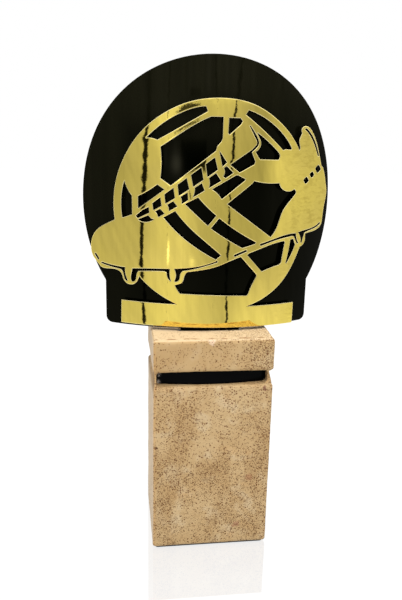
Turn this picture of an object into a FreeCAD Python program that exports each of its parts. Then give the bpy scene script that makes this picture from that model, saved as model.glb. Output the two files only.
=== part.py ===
import FreeCAD, Part
import math
import os
import re
import Sketcher
from FreeCAD import Placement, Rotation, Vector

# Figure trophy: a cast stone-look column carries a curved black sheet-metal plate, and a
# mirror-gold sheet cut out as a ball and a football boot stands proud of the plate on pads.
#
# Frame: millimetres, +Z up, -Y the front, +X the viewer's right. The origin is the middle of
# the foot pad's underside, where the trophy rests.

DIMENSIONS = [
    # alias, value, what it is
    ("base_width", 80.0, "column, left to right"),
    ("base_depth", 65.4, "column, front to back"),
    ("pad_thickness", 1.0, "foot pad"),
    ("pad_margin", 2.0, "foot pad, from the column's edge"),
    ("ledge_height", 120.4, "ledge under the groove"),
    ("groove_height", 9.4, "groove round the column"),
    ("groove_inset", 3.0, "groove, how deep it goes in"),
    ("column_top", 151.9, "top of the column"),
    ("arris_radius", 2.0, "rounding of the cast edges"),
    ("ledge_radius", 2.2, "rounding of the ledge's edge"),
    ("cove_radius", 0.7, "rounding at the groove's foot"),
    ("skirt_foot", 2.4, "sloped skirt right of the groove, at its foot"),
    ("skirt_rise", 0.3, "upright start of the skirt's slope"),
    ("lip_width", 2.2, "lip left of the inlay bar"),
    ("lip_depth", 13.0, "lip, front to back"),
    ("lip_forward", 1.5, "lip and skirt, ahead of the groove's front wall"),
    ("weld", 1.0, "how far joined pads reach into each other"),
    ("recess_width", 73.4, "pocket for the inlay bar"),
    ("recess_depth", 9.0, "pocket, behind the groove's front wall"),
    ("bar_shift", 0.7, "inlay bar's middle, left of the column's"),
    ("bar_width", 73.0, "inlay bar, left to right"),
    ("bar_height", 9.2, "inlay bar"),
    ("bar_side", 4.0, "inlay bar, depth at its ends"),
    ("bar_bow_radius", 180.0, "inlay bar, curve of its front"),
    ("bar_edge_radius", 1.2, "inlay bar, rounding of its front corners"),
    ("tape_thickness", 0.4, "adhesive tape behind the inlay bar"),
    ("tape_margin", 1.0, "tape, from the bar's edges"),
    ("plate_radius", 138.0, "roll of the black plate's front face"),
    ("plate_front", 9.9, "plate's front at its middle, ahead of the origin"),
    ("sheet_turn", -0.85, "plate and gold sheet, turned in the slot, degrees"),
    ("plate_thickness", 2.0, "black plate"),
    ("disc_radius", 90.6, "round top of the black plate, cut flat"),
    ("disc_height", 236.0, "its centre above the foot"),
    ("neck_half", 73.1, "plate's straight sides, from its middle"),
    ("plate_bottom", 153.0, "plate's lower edge"),
    ("plate_corner", 4.5, "rounding of the plate's lower corners"),
    ("tab_width", 40.0, "tab under the plate"),
    ("tab_bottom", 140.0, "lower end of the tab"),
    ("slot_width", 44.0, "slot in the column's top"),
    ("slot_gap", 5.6, "slot, front to back"),
    ("slot_shift", 1.7, "slot's middle, behind the plate's front"),
    ("slot_depth", 13.0, "slot, below the column's top"),
    ("fill_drop", 0.6, "adhesive's surface, below the column's top"),
    ("standoff", 2.5, "mounting pads between plate and gold sheet"),
    ("gold_thickness", 1.0, "gold sheet"),
    ("roll_height", 340.0, "rolls that the sheets are trimmed from"),
    ("blank_depth", 120.0, "length of the cutters that trim the rolled sheets"),
]

doc = FreeCAD.newDocument("figure_trophy")
sheet = doc.addObject("Spreadsheet::Sheet", "Dimensions")


def fill_sheet():
    for row, (alias, value, note) in enumerate(DIMENSIONS, start=1):
        sheet.set(f"A{row}", note)
        sheet.set(f"B{row}", str(value))
        sheet.setAlias(f"B{row}", alias)
    doc.recompute()


def size(alias):
    return float(sheet.get(alias))


def bind(thing, **expressions):
    """Bind properties to the sheet; a double underscore in a name stands for a dot."""
    for name, expression in expressions.items():
        for alias, _, _ in DIMENSIONS:
            expression = re.sub(rf"\b{alias}\b", f"Dimensions.{alias}", expression)
        thing.setExpression(name.replace("__", "."), expression)


# ---------------------------------------------------------------- the column and its fittings

def new_body(label, **places):
    body = doc.addObject("PartDesign::Body", label)
    body.Label = label
    bind(body, **places)
    return body


def new_sketch(body, name, plane="XY_Plane", **places):
    sketch = body.newObject("Sketcher::SketchObject", name)
    ground = next(f for f in body.Origin.OriginFeatures if f.Role == plane)
    sketch.AttachmentSupport = [(ground, "")]
    sketch.MapMode = "FlatFace"
    bind(sketch, **places)
    return sketch


def rectangle(body, name, width, depth, **places):
    """A rectangle about the sketch's origin, its two sizes bound to the sheet."""
    sketch = new_sketch(body, name, **places)
    corners = [Vector(-10, -10, 0), Vector(10, -10, 0), Vector(10, 10, 0), Vector(-10, 10, 0)]
    for start, end in zip(corners, corners[1:] + corners[:1]):
        sketch.addGeometry(Part.LineSegment(start, end), False)
    for side in range(4):
        sketch.addConstraint(Sketcher.Constraint("Coincident", side, 2, (side + 1) % 4, 1))
    for side in (0, 2):
        sketch.addConstraint(Sketcher.Constraint("Horizontal", side))
    for side in (1, 3):
        sketch.addConstraint(Sketcher.Constraint("Vertical", side))
    sketch.addConstraint(Sketcher.Constraint("Symmetric", 0, 1, 2, 1, -1, 1))
    across = sketch.addConstraint(Sketcher.Constraint("DistanceX", 0, 1, 0, 2, 20))
    along = sketch.addConstraint(Sketcher.Constraint("DistanceY", 1, 1, 1, 2, 20))
    sketch.renameConstraint(across, "width")
    sketch.renameConstraint(along, "depth")
    bind(sketch, Constraints__width=width, Constraints__depth=depth)
    return sketch


def pad(body, name, sketch, length):
    feature = body.newObject("PartDesign::Pad", name)
    feature.Profile = sketch
    bind(feature, Length=length)
    doc.recompute()
    return feature


def pocket(body, name, sketch, length, upward=False):
    before = body.Shape.Volume
    feature = body.newObject("PartDesign::Pocket", name)
    feature.Profile = sketch
    feature.Reversed = upward
    bind(feature, Length=length)
    doc.recompute()
    if feature.Shape.isNull() or body.Shape.Volume > before - 1.0:
        raise SystemExit(name + " cuts nothing")
    return feature


def fillet(body, name, base, radius, chosen):
    """Round the edges of base whose midpoint passes the test chosen."""
    names = []
    for number, edge in enumerate(base.Shape.Edges, start=1):
        middle = edge.valueAt((edge.FirstParameter + edge.LastParameter) / 2)
        if chosen(middle, edge):
            names.append(f"Edge{number}")
    feature = body.newObject("PartDesign::Fillet", name)
    feature.Base = (base, names)
    bind(feature, Radius=radius)
    doc.recompute()
    if feature.Shape.isNull():
        raise SystemExit(name + " fails")
    return feature


def is_upright(edge):
    box = edge.BoundBox
    return box.ZLength > box.XLength + box.YLength


def make_skirt(body):
    """Casting left along the groove's right side, sloping from the cap down to the ledge."""
    sketch = new_sketch(body, "skirt_plan", plane="XZ_Plane")
    wall = size("base_width") / 2 - size("groove_inset")
    foot = size("ledge_height") - size("pad_thickness")
    top = foot + size("groove_height")
    weld = size("weld")
    rise = size("skirt_rise")
    reach = size("skirt_foot")
    corners = [Vector(wall - weld, foot - weld, 0), Vector(wall + reach, foot - weld, 0),
               Vector(wall + reach, foot + rise, 0), Vector(wall, top, 0),
               Vector(wall - weld, top, 0)]
    for start, end in zip(corners, corners[1:] + corners[:1]):
        sketch.addGeometry(Part.LineSegment(start, end), False)
    for side in range(5):
        sketch.addConstraint(Sketcher.Constraint("Coincident", side, 2, (side + 1) % 5, 1))
    for side in (0, 3):
        sketch.addConstraint(Sketcher.Constraint("Horizontal", side))
    for side in (1, 4):
        sketch.addConstraint(Sketcher.Constraint("Vertical", side))
    sketch.addConstraint(Sketcher.Constraint("DistanceX", 3, 2, 0, 2, weld + reach))
    sketch.addConstraint(Sketcher.Constraint("DistanceX", 3, 2, 3, 1, weld))
    sketch.addConstraint(Sketcher.Constraint("DistanceY", 0, 1, 3, 2, weld + top - foot))
    sketch.addConstraint(Sketcher.Constraint("DistanceY", 0, 1, 1, 2, weld + rise))
    sketch.addConstraint(Sketcher.Constraint("DistanceX", -1, 1, 0, 1, wall - weld))
    sketch.addConstraint(Sketcher.Constraint("DistanceY", -1, 1, 0, 1, foot - weld))
    skirt = pad(body, "skirt", sketch, "base_depth - 2 * groove_inset + lip_forward")
    skirt.Midplane = True
    doc.recompute()


def make_foot_pad():
    """Thin felt under the column, a little smaller than it."""
    body = new_body("foot_pad")
    plan = rectangle(body, "foot_pad_plan", "base_width - 2 * pad_margin",
                     "base_depth - 2 * pad_margin")
    slab = pad(body, "foot_pad_slab", plan, "pad_thickness")
    fillet(body, "foot_pad_corners", slab, "arris_radius", lambda middle, edge: is_upright(edge))
    return body


def make_column():
    """One casting: pillar, groove and cap, with a pocket in front and a slot on top."""
    body = new_body("stone_column", Placement__Base__z="pad_thickness")
    half_width = size("base_width") / 2
    half_depth = size("base_depth") / 2
    ledge = size("ledge_height") - size("pad_thickness")

    plan = rectangle(body, "pillar_plan", "base_width", "base_depth")
    pad(body, "pillar", plan, "ledge_height - pad_thickness")
    inner = rectangle(body, "groove_plan", "base_width - 2 * groove_inset",
                      "base_depth - 2 * groove_inset",
                      AttachmentOffset__Base__z="ledge_height - pad_thickness")
    pad(body, "groove_wall", inner, "groove_height")
    upper = rectangle(body, "cap_plan", "base_width", "base_depth",
                      AttachmentOffset__Base__z="ledge_height + groove_height - pad_thickness")
    cap = pad(body, "cap", upper, "column_top - ledge_height - groove_height")

    def outer(middle):
        inward = min(half_width - abs(middle.x), half_depth - abs(middle.y))
        return inward < size("groove_inset") / 2

    def is_rim(middle, edge):
        return outer(middle) and not is_upright(edge) and abs(middle.z - ledge) > 0.01

    def is_ledge(middle, edge):
        return outer(middle) and not is_upright(edge) and abs(middle.z - ledge) < 0.01

    def is_groove_foot(middle, edge):
        return not outer(middle) and not is_upright(edge) and abs(middle.z - ledge) < 0.01

    last = fillet(body, "uprights", cap, "arris_radius", lambda middle, edge: is_upright(edge))
    last = fillet(body, "rims", last, "arris_radius", is_rim)
    last = fillet(body, "ledge_rim", last, "ledge_radius", is_ledge)
    fillet(body, "groove_cove", last, "cove_radius", is_groove_foot)
    make_skirt(body)
    lip = rectangle(
        body, "lip_plan", "lip_width + weld", "lip_depth",
        AttachmentOffset__Base__x="groove_inset + weld / 2 - lip_width / 2 - base_width / 2",
        AttachmentOffset__Base__y="groove_inset + lip_depth / 2 - base_depth / 2 - lip_forward",
        AttachmentOffset__Base__z="ledge_height - pad_thickness - weld")
    pad(body, "lip", lip, "groove_height + 2 * weld")

    recess = rectangle(body, "recess_plan", "recess_width", "recess_depth * 2",
                       AttachmentOffset__Base__x="0 - bar_shift",
                       AttachmentOffset__Base__y="groove_inset - base_depth / 2",
                       AttachmentOffset__Base__z="ledge_height - pad_thickness")
    pocket(body, "bar_recess", recess, "groove_height", upward=True)
    slot = rectangle(body, "slot_plan", "slot_width", "slot_gap",
                     AttachmentOffset__Base__y="slot_shift - plate_front",
                     AttachmentOffset__Base__z="column_top - pad_thickness")
    pocket(body, "tab_slot", slot, "slot_depth")
    return body


def make_inlay_bar():
    """Gloss black bar in the groove's front pocket, its front bowed forward."""
    body = new_body("inlay_bar", Placement__Base__x="0 - bar_shift",
                    Placement__Base__z="ledge_height",
                    Placement__Base__y="groove_inset + recess_depth - tape_thickness - base_depth / 2")
    sketch = new_sketch(body, "bar_plan")
    half = size("bar_width") / 2
    side = size("bar_side")
    bow = size("bar_bow_radius")
    centre_y = -side + math.sqrt(bow**2 - half**2)
    lean = math.asin(half / bow)
    sketch.addGeometry(Part.LineSegment(Vector(-half, 0, 0), Vector(half, 0, 0)), False)
    sketch.addGeometry(Part.LineSegment(Vector(half, 0, 0), Vector(half, -side, 0)), False)
    circle = Part.Circle(Vector(0, centre_y, 0), Vector(0, 0, 1), bow)
    front = Part.ArcOfCircle(circle, -math.pi / 2 - lean, -math.pi / 2 + lean)
    sketch.addGeometry(front, False)
    sketch.addGeometry(Part.LineSegment(Vector(-half, -side, 0), Vector(-half, 0, 0)), False)
    for first, first_end, second, second_end in ((0, 2, 1, 1), (1, 2, 2, 2), (2, 1, 3, 1), (3, 2, 0, 1)):
        sketch.addConstraint(Sketcher.Constraint("Coincident", first, first_end, second, second_end))
    sketch.addConstraint(Sketcher.Constraint("Vertical", 1))
    sketch.addConstraint(Sketcher.Constraint("Vertical", 3))
    sketch.addConstraint(Sketcher.Constraint("Symmetric", 0, 1, 0, 2, -1, 1))
    across = sketch.addConstraint(Sketcher.Constraint("DistanceX", 0, 1, 0, 2, 2 * half))
    depth = sketch.addConstraint(Sketcher.Constraint("DistanceY", 1, 2, 1, 1, side))
    radius = sketch.addConstraint(Sketcher.Constraint("Radius", 2, bow))
    sketch.renameConstraint(across, "width")
    sketch.renameConstraint(depth, "side")
    sketch.renameConstraint(radius, "bow")
    bind(sketch, Constraints__width="bar_width", Constraints__side="bar_side",
         Constraints__bow="bar_bow_radius")
    bar = pad(body, "bar", sketch, "bar_height")
    fillet(body, "bar_ends", bar, "bar_edge_radius",
           lambda middle, edge: is_upright(edge) and middle.y < -side / 2)
    return body


def make_bar_tape():
    """Adhesive tape that holds the bar in its pocket."""
    tape = doc.addObject("Part::Box", "bar_tape")
    tape.Label = "bar_tape"
    bind(tape, Length="bar_width - 2 * tape_margin", Width="tape_thickness",
         Height="bar_height - 2 * tape_margin",
         Placement__Base__x="tape_margin - bar_shift - bar_width / 2",
         Placement__Base__y="groove_inset + recess_depth - tape_thickness - base_depth / 2",
         Placement__Base__z="ledge_height + tape_margin")
    return tape


# ---------------------------------------------------------------------------- rolled sheets
#
# The plate, the pads and the gold sheet are cut flat and rolled about one upright axis behind
# the trophy. Their outlines are in flat millimetres: how far round the plate's front from the
# middle, and height above the foot. What lies further out keeps the plate's angles. An outline
# is a closed list. A pair is a corner, and a list of pairs between two corners is what a smooth
# curve passes on its way; all else is straight.

def rolled(point, radius):
    """Where a point of the flat pattern comes to lie on a roll, seen from the front."""
    return Vector(radius * math.sin(point[0] / size("plate_radius")), 0, point[1])


def wire(outline, radius):
    edges = []
    start = outline[0]
    run = []
    for item in outline[1:] + outline[:1]:
        if isinstance(item, list):
            run = item
            continue
        points = [rolled(point, radius) for point in [start] + run + [item]]
        if run:
            curve = Part.BSplineCurve()
            curve.interpolate(points)
            edges.append(curve.toShape())
        else:
            edges.append(Part.makeLine(*points))
        start = item
        run = []
    return Part.Wire(edges)


def make_cutter(name, outline, windows, radius):
    """The outline without its windows, as a long prism that trims a rolled sheet."""
    depth = size("blank_depth")
    blank = Part.Face(wire(outline, radius)).extrude(Vector(0, depth, 0))
    holes = [Part.Face(wire(window, radius)).extrude(Vector(0, depth, 0)) for window in windows]
    if holes:
        blank = blank.cut(holes)
    cutter = doc.addObject("Part::Feature", name)
    cutter.Label = name
    cutter.Shape = blank
    bind(cutter, Placement__Base__y="0 - blank_depth / 2")
    return cutter


def make_roll(name, outer, inner):
    """A sheet rolled all the way round, between two radii given as expressions."""
    walls = []
    for side, radius in (("front", outer), ("back", inner)):
        cylinder = doc.addObject("Part::Cylinder", f"{name}_{side}")
        bind(cylinder, Radius=radius, Height="roll_height",
             Placement__Base__y="plate_radius - plate_front")
        walls.append(cylinder)
    roll = doc.addObject("Part::Cut", name)
    roll.Base = walls[0]
    roll.Tool = walls[1]
    return roll


def turn_in_slot(piece):
    """Turn a sheet a little about the middle of the plate's front."""
    piece.Placement = Placement(Vector(), Rotation(Vector(0, 0, 1), size("sheet_turn")))
    bind(piece, Placement__Rotation__Angle="sheet_turn",
         Placement__Base__x="0 - plate_front * sin(sheet_turn)",
         Placement__Base__y="plate_front * (cos(sheet_turn) - 1)")


def make_rolled_sheet(label, cutter, roll):
    piece = doc.addObject("Part::Common", label)
    piece.Label = label
    piece.Base = cutter
    piece.Tool = roll
    turn_in_slot(piece)
    return piece


def circle_run(centre, radius, start, end, count):
    """Points on a circle between two angles in degrees, ends left out."""
    angles = [math.radians(start + (end - start) * k / count) for k in range(1, count)]
    return [(centre[0] + radius * math.cos(a), centre[1] + radius * math.sin(a)) for a in angles]


def plate_outline():
    """A disc on straight sides, with rounded lower corners and a tab underneath."""
    centre = (0.0, size("disc_height"))
    radius = size("disc_radius")
    half = size("neck_half")
    bottom = size("plate_bottom")
    corner = size("plate_corner")
    tab = size("tab_width") / 2
    reach = math.degrees(math.acos(half / radius))
    shoulder = centre[1] - math.sqrt(radius**2 - half**2)
    turn = corner * (1 - math.sqrt(0.5))
    return [
        (-tab, bottom), (-tab, size("tab_bottom")), (tab, size("tab_bottom")), (tab, bottom),
        (half - corner, bottom), [(half - turn, bottom + turn)], (half, bottom + corner),
        (half, shoulder), circle_run(centre, radius, -reach, 180 + reach, 16), (-half, shoulder),
        (-half, bottom + corner), [(-half + turn, bottom + turn)], (-half + corner, bottom),
    ]


# The gold sheet: a plinth strip, the ball's ring behind the boot, and the boot with its studs.
GOLD_OUTLINE = [
    # plinth strip
    (-59.9, 155.2), (58.7, 153.4), (58.8, 168.1), (23.3, 168.4),
    # ring, lower right
    [(37.9, 174.9), (49.7, 185.0), (56.6, 195.4)], (61.8, 206.8),
    # heel stud
    [(64.3, 208.0), (65.7, 210.2), (65.9, 213.0)], (65.8, 215.4),
    # sole's rear end and the heel
    [(70.0, 216.2), (75.6, 217.3), (80.2, 220.3), (81.4, 226.0), (82.6, 235.0),
     (83.8, 243.0), (82.3, 249.4), (80.1, 256.2)], (78.6, 259.2),
    (76.9, 260.6), [(75.1, 265.6), (71.1, 275.5), (66.8, 282.2), (62.4, 285.5),
                    (58.7, 285.1), (57.6, 283.4)], (58.2, 281.4),
    [(56.9, 278.6), (56.2, 276.4), (56.9, 273.6)], (56.8, 270.3),
    # ring over the top
    [(49.7, 280.0), (40.4, 288.3), (23.0, 298.0), (3.4, 301.1), (-16.0, 298.5),
     (-33.9, 290.0), (-46.0, 279.9), (-56.6, 264.8), (-62.7, 249.0), (-64.4, 236.0)], (-63.7, 224.4),
    # toe cap
    [(-70.4, 221.1), (-78.3, 215.4), (-81.9, 206.8), (-80.3, 198.5), (-76.3, 194.1)], (-74.6, 192.2),
    [(-70.0, 191.4), (-65.5, 191.6), (-61.4, 190.8), (-59.2, 188.7), (-58.4, 186.2)], (-57.0, 183.8),
    # toe stud
    [(-54.0, 182.1), (-50.7, 182.6), (-48.4, 185.0)], (-47.3, 188.2),
    # ring, lower left
    [(-38.6, 179.9), (-31.5, 175.0)], (-22.4, 170.2),
    (-59.6, 170.9),
]

# Openings of the gold sheet that show the black plate.
GOLD_WINDOWS = {
    "ring_upper_left": [
        (-42.6, 276.5), [(-32.8, 285.0), (-20.0, 292.4), (-12.5, 295.1)], (-6.3, 296.0),
        (-5.2, 293.0), (-35.5, 275.4), [(-38.5, 276.4)],
    ],
    "ring_upper_right": [
        (19.8, 294.3), [(30.5, 290.0), (40.0, 283.6), (46.0, 278.0)], (50.7, 271.7),
        (50.3, 270.8), (45.9, 271.0), (44.3, 270.4), [(32.0, 281.0)], (18.1, 291.6),
    ],
    "ring_left": [
        (-56.8, 250.0), [(-54.6, 244.6)], (-51.8, 240.3), (-51.7, 228.4), (-58.4, 226.0),
        [(-59.1, 236.0)],
    ],
    "ring_lower_right": [
        (53.6, 212.2), (55.9, 212.6), (57.7, 208.5), [(55.0, 202.4)], (51.2, 195.9),
        (50.7, 196.4), [(52.6, 205.0)],
    ],
    "panel_upper_left": [
        (-33.5, 271.4), [(-20.0, 280.5), (-10.0, 286.7)], (-3.2, 290.0), (4.3, 290.0),
        (4.2, 277.3), (3.5, 275.3), (0.9, 272.2), (0.2, 269.5), (-27.1, 247.7), (-33.5, 252.1),
        [(-32.8, 262.0)],
    ],
    "panel_top": [
        (7.8, 289.5), (14.9, 289.5), (16.3, 287.7), (15.2, 285.7), (8.3, 279.4), (7.5, 280.2),
    ],
    "panel_right": [
        (25.6, 281.3), [(34.0, 275.3)], (41.2, 269.0), [(42.1, 266.9)], (41.2, 264.4),
        (28.6, 264.6), (27.3, 266.0), (25.2, 269.4), [(28.2, 272.2), (28.7, 274.2), (27.6, 277.6)],
    ],
    "panel_left": [
        (-47.8, 240.4), [(-42.9, 243.0), (-38.0, 246.2)], (-35.4, 248.2), (-30.9, 245.1),
        (-47.4, 232.7), (-47.8, 233.0),
    ],
    "panel_under_boot": [
        (22.4, 203.4), (23.9, 204.5), [(31.0, 207.0), (39.6, 209.8)], (48.6, 211.5),
        (49.3, 210.7), [(48.0, 203.4)], (47.1, 197.0), (45.8, 195.6), [(39.5, 194.0)],
        (33.0, 191.7),
    ],
    "panel_bottom": [
        (-20.6, 177.6), [(-22.5, 180.4)], (-23.9, 183.2), (-21.4, 184.0),
        [(-18.8, 186.0), (-17.9, 189.2), (-16.6, 191.7)], (-14.6, 192.4),
        [(-5.0, 194.0), (2.0, 195.7), (10.0, 199.0)], (18.3, 202.2), (29.5, 189.7),
        (29.2, 188.2), [(26.2, 182.4)], (24.0, 176.7), (23.1, 175.7),
    ],
    "ankle": [
        (20.6, 285.2), (21.5, 285.1), [(27.0, 276.2), (27.2, 274.0), (25.6, 271.4)],
        (22.9, 269.0), (25.4, 263.3), (24.8, 261.5), (15.5, 256.4), (9.2, 261.1),
        (23.2, 270.8), (25.9, 273.8), (26.0, 275.5),
    ],
    "vamp": [
        (-1.8, 245.8), (13.2, 254.7), (14.6, 254.8), (17.4, 253.3), (19.5, 252.5),
        (18.9, 251.3), (5.0, 239.9), (4.4, 239.9), [(2.4, 242.7)],
    ],
    "quarter": [
        (8.1, 236.6), (24.3, 249.8), (25.1, 251.2), [(33.0, 249.8)], (42.8, 249.7),
        [(44.2, 246.8), (48.8, 244.3)], (54.4, 245.6), [(55.9, 243.6)], (55.0, 241.7),
        [(50.7, 237.2), (46.2, 231.2), (44.2, 225.8)], (38.3, 214.6),
    ],
    # the side of the boot carries a tapered wedge and a seamed panel
    "side_wedge": [
        (-31.5, 227.5), (-24.1, 231.8), [(-19.0, 225.4), (-10.0, 216.6)], (5.2, 203.4),
        (1.9, 200.6), [(-10.0, 207.8), (-20.0, 215.5)],
    ],
    "side_panel_front": [
        (-18.2, 236.4), (-10.0, 240.7), [(-5.0, 235.2)], (1.6, 229.2), (-3.6, 222.6),
        [(-9.5, 228.0)],
    ],
    "side_panel_rear": [
        (3.4, 227.6), [(10.6, 222.2)], (28.1, 211.6), (27.6, 210.5), (19.0, 208.0),
        [(7.0, 215.0)], (-1.8, 221.0),
    ],
    # eyelets at the two ends of the lacing
    "lace_first_upper": [
        (-49.4, 227.8), (-44.8, 231.8), (-40.9, 233.8), (-40.4, 230.1), (-48.1, 226.2),
    ],
    "lace_first_lower": [
        (-47.9, 225.5), (-41.2, 228.5), (-39.2, 226.4), (-37.3, 226.1),
        [(-40.2, 224.5), (-44.8, 224.1)],
    ],
    "lace_last_upper": [
        (2.3, 269.8), (7.3, 262.6), (4.5, 259.8), [(3.4, 264.8)],
    ],
    "lace_last_lower": [
        (5.3, 259.2), (7.2, 260.4), (11.6, 256.2), (6.7, 252.8), (5.0, 254.0), [(6.1, 256.4)],
    ],
    # slits that draw the sole, the studs and the heel tab
    "toe_slit": [(-79.3, 200.4), (-78.2, 201.2), (-75.5, 197.5), (-76.5, 196.5)],
    "toe_sole_slit": [
        (-74.4, 194.6), (-73.6, 195.5), [(-65.0, 194.0)], (-56.6, 193.4),
        [(-56.8, 189.7), (-55.9, 186.7)], (-55.0, 184.4), (-56.1, 184.1),
        [(-57.8, 188.0), (-58.7, 190.6)], (-60.2, 191.9), [(-66.0, 192.75)],
    ],
    "middle_sole_slit": [
        (-51.9, 193.0), [(-52.4, 190.0), (-52.9, 187.0)], (-52.0, 183.9),
        [(-49.6, 185.5), (-48.9, 189.4)], (-47.6, 191.5), [(-39.6, 192.1)], (-30.8, 192.3),
        (-29.1, 191.6), [(-28.4, 187.8)], (-26.3, 185.4), [(-27.0, 187.8)], (-27.2, 194.0),
        [(-40.0, 193.7)],
    ],
    "arch_slit": [
        (-24.4, 194.2), [(-15.0, 195.0), (-5.0, 197.0)], (2.9, 199.9), (3.3, 198.8),
        [(-3.2, 196.7), (-12.8, 194.0)], (-18.7, 192.9), [(-20.5, 190.6), (-20.9, 188.0)],
        (-23.6, 185.3), (-24.3, 186.0), [(-23.2, 189.6)],
    ],
    "waist_slit": [(13.3, 202.9), (14.0, 203.8), (21.8, 206.9), (22.3, 205.6), (14.4, 202.3)],
    "heel_sole_slit": [
        (30.8, 209.5), (31.3, 210.5), [(40.0, 213.0), (50.0, 215.6)], (57.8, 216.2),
        [(58.7, 212.5)], (60.3, 209.5), (59.4, 208.8), [(57.1, 212.6)], (56.3, 214.2),
        (55.0, 214.5), [(45.0, 212.9)], (32.0, 209.0),
    ],
    "heel_end_slit": [
        (59.6, 216.7), [(68.0, 218.3), (75.0, 220.1)], (78.9, 222.5), (79.7, 221.4),
        [(75.0, 218.8), (68.0, 217.0)], (65.2, 216.1), [(64.2, 213.4)], (63.2, 209.2),
        (62.2, 209.7), [(61.9, 213.0)],
    ],
    "heel_tab_slit": [
        (60.1, 283.7), (61.5, 284.5), [(67.1, 279.6), (71.1, 273.5)], (74.0, 267.0),
        (73.0, 266.5), [(69.9, 272.7), (66.0, 278.5)],
    ],
}

# Punched marks on the heel: centre and size of each rounded square.
HEEL_MARKS = [((63.8, 251.1), 3.6), ((68.6, 254.7), 3.2), ((73.9, 258.4), 4.2)]
HEEL_MARK_TILT = 38.0
HEEL_MARK_CORNER = 1.28
HEEL_MARK_SIDE = 1.06

# Where each lace crosses the top, middle and bottom rails of the lacing.
LACES = [
    (-39.8, -39.1, -36.1), (-32.2, -31.5, -29.4), (-24.1, -23.2, -21.5),
    (-16.0, -14.4, -14.9), (-7.1, -5.8, -4.8), (1.0, 2.9, 5.3),
]
LACE_HALF_TOP = 1.3
LACE_HALF_MIDDLE = 1.2
LACE_HALF_LOBE = 2.2
LACE_HALF_FOOT = 1.3
LACE_BULGE = 0.5
MIDDLE_RAIL_THICKNESS = 1.2


# Rails of the lacing: a point each passes through, its slope there and how much it bends up.
TOP_RAIL = (-49.4, 228.0, 0.766, 0.0)
MIDDLE_RAIL = (-48.0, 226.2, 0.52, 0.0024)
BOTTOM_RAIL = (-34.9, 227.3, 0.612, 0.0)


def rail_height(rail, along):
    start, height, slope, bend = rail
    return height + slope * (along - start) + bend * (along - start)**2


def lace_windows():
    """Two rows of openings between neighbouring laces, above and below the middle rail."""
    windows = []
    for left, right in zip(LACES, LACES[1:]):
        top = (left[0] + LACE_HALF_TOP, right[0] - LACE_HALF_TOP)
        waist = (left[1] + LACE_HALF_MIDDLE, right[1] - LACE_HALF_MIDDLE)
        windows.append([
            (top[0], rail_height(TOP_RAIL, top[0])),
            (top[1], rail_height(TOP_RAIL, top[1])),
            (waist[1], rail_height(MIDDLE_RAIL, waist[1])),
            (waist[0], rail_height(MIDDLE_RAIL, waist[0])),
        ])
        lobe = (left[1] + LACE_HALF_LOBE, right[1] - LACE_HALF_LOBE)
        foot = (left[2] + LACE_HALF_FOOT, right[2] - LACE_HALF_FOOT)
        upper = [(u, rail_height(MIDDLE_RAIL, u) - MIDDLE_RAIL_THICKNESS) for u in lobe]
        lower = [(u, rail_height(BOTTOM_RAIL, u)) for u in foot]
        bulge = ((upper[0][0] + lower[0][0]) / 2 + LACE_BULGE, (upper[0][1] + lower[0][1]) / 2)
        windows.append([upper[0], upper[1], lower[1], lower[0], [bulge]])
    return windows


def heel_marks():
    """Rounded squares: each side bows out a little between its corners."""
    marks = []
    for (along, height), width in HEEL_MARKS:
        outline = []
        for step in range(8):
            angle = math.radians(HEEL_MARK_TILT + 45 * step)
            reach = width / 2 * (HEEL_MARK_CORNER if step % 2 else HEEL_MARK_SIDE)
            point = (along + reach * math.cos(angle), height + reach * math.sin(angle))
            outline.append(point if step % 2 else [point])
        marks.append(outline[1:] + outline[:1])
    return marks


# Foam pads behind the widest parts of the gold sheet: middle, height, width and tallness.
PADS = [
    (-47.0, 163.0, 20.0, 10.0), (0.0, 164.5, 26.0, 12.0), (45.0, 161.0, 20.0, 10.0),
    (-66.0, 207.0, 18.0, 14.0), (-38.0, 204.0, 16.0, 12.0), (38.0, 185.0, 10.0, 8.0),
    (66.0, 234.0, 18.0, 16.0), (52.0, 257.5, 16.0, 10.0), (4.0, 295.6, 12.0, 7.0),
    (-50.0, 256.0, 10.0, 12.0),
]


def make_mounting_pads(radius):
    """One block for each pad, trimmed to the gap between plate and gold sheet."""
    blocks = []
    for number, (along, height, width, tall) in enumerate(PADS, start=1):
        block = doc.addObject("Part::Box", f"pad_block_{number}")
        left = rolled((along - width / 2, 0), radius).x
        right = rolled((along + width / 2, 0), radius).x
        block.Length = right - left
        block.Height = tall
        block.Placement = Placement(Vector(left, 0, height - tall / 2), Rotation())
        bind(block, Width="blank_depth", Placement__Base__y="0 - blank_depth / 2")
        blocks.append(block)
    cutter = doc.addObject("Part::MultiFuse", "pad_cutter")
    cutter.Shapes = blocks
    roll = make_roll("pad_roll", "plate_radius + standoff", "plate_radius")
    return make_rolled_sheet("mounting_pads", cutter, roll)


def make_slot_adhesive(plate):
    """Resin that fills the slot round the plate's tab."""
    block = doc.addObject("Part::Box", "slot_fill")
    bind(block, Length="slot_width", Width="slot_gap", Height="slot_depth - fill_drop",
         Placement__Base__x="0 - slot_width / 2",
         Placement__Base__y="slot_shift - plate_front - slot_gap / 2",
         Placement__Base__z="column_top - slot_depth")
    fill = doc.addObject("Part::Cut", "slot_adhesive")
    fill.Label = "slot_adhesive"
    fill.Base = block
    fill.Tool = plate
    return fill


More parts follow.
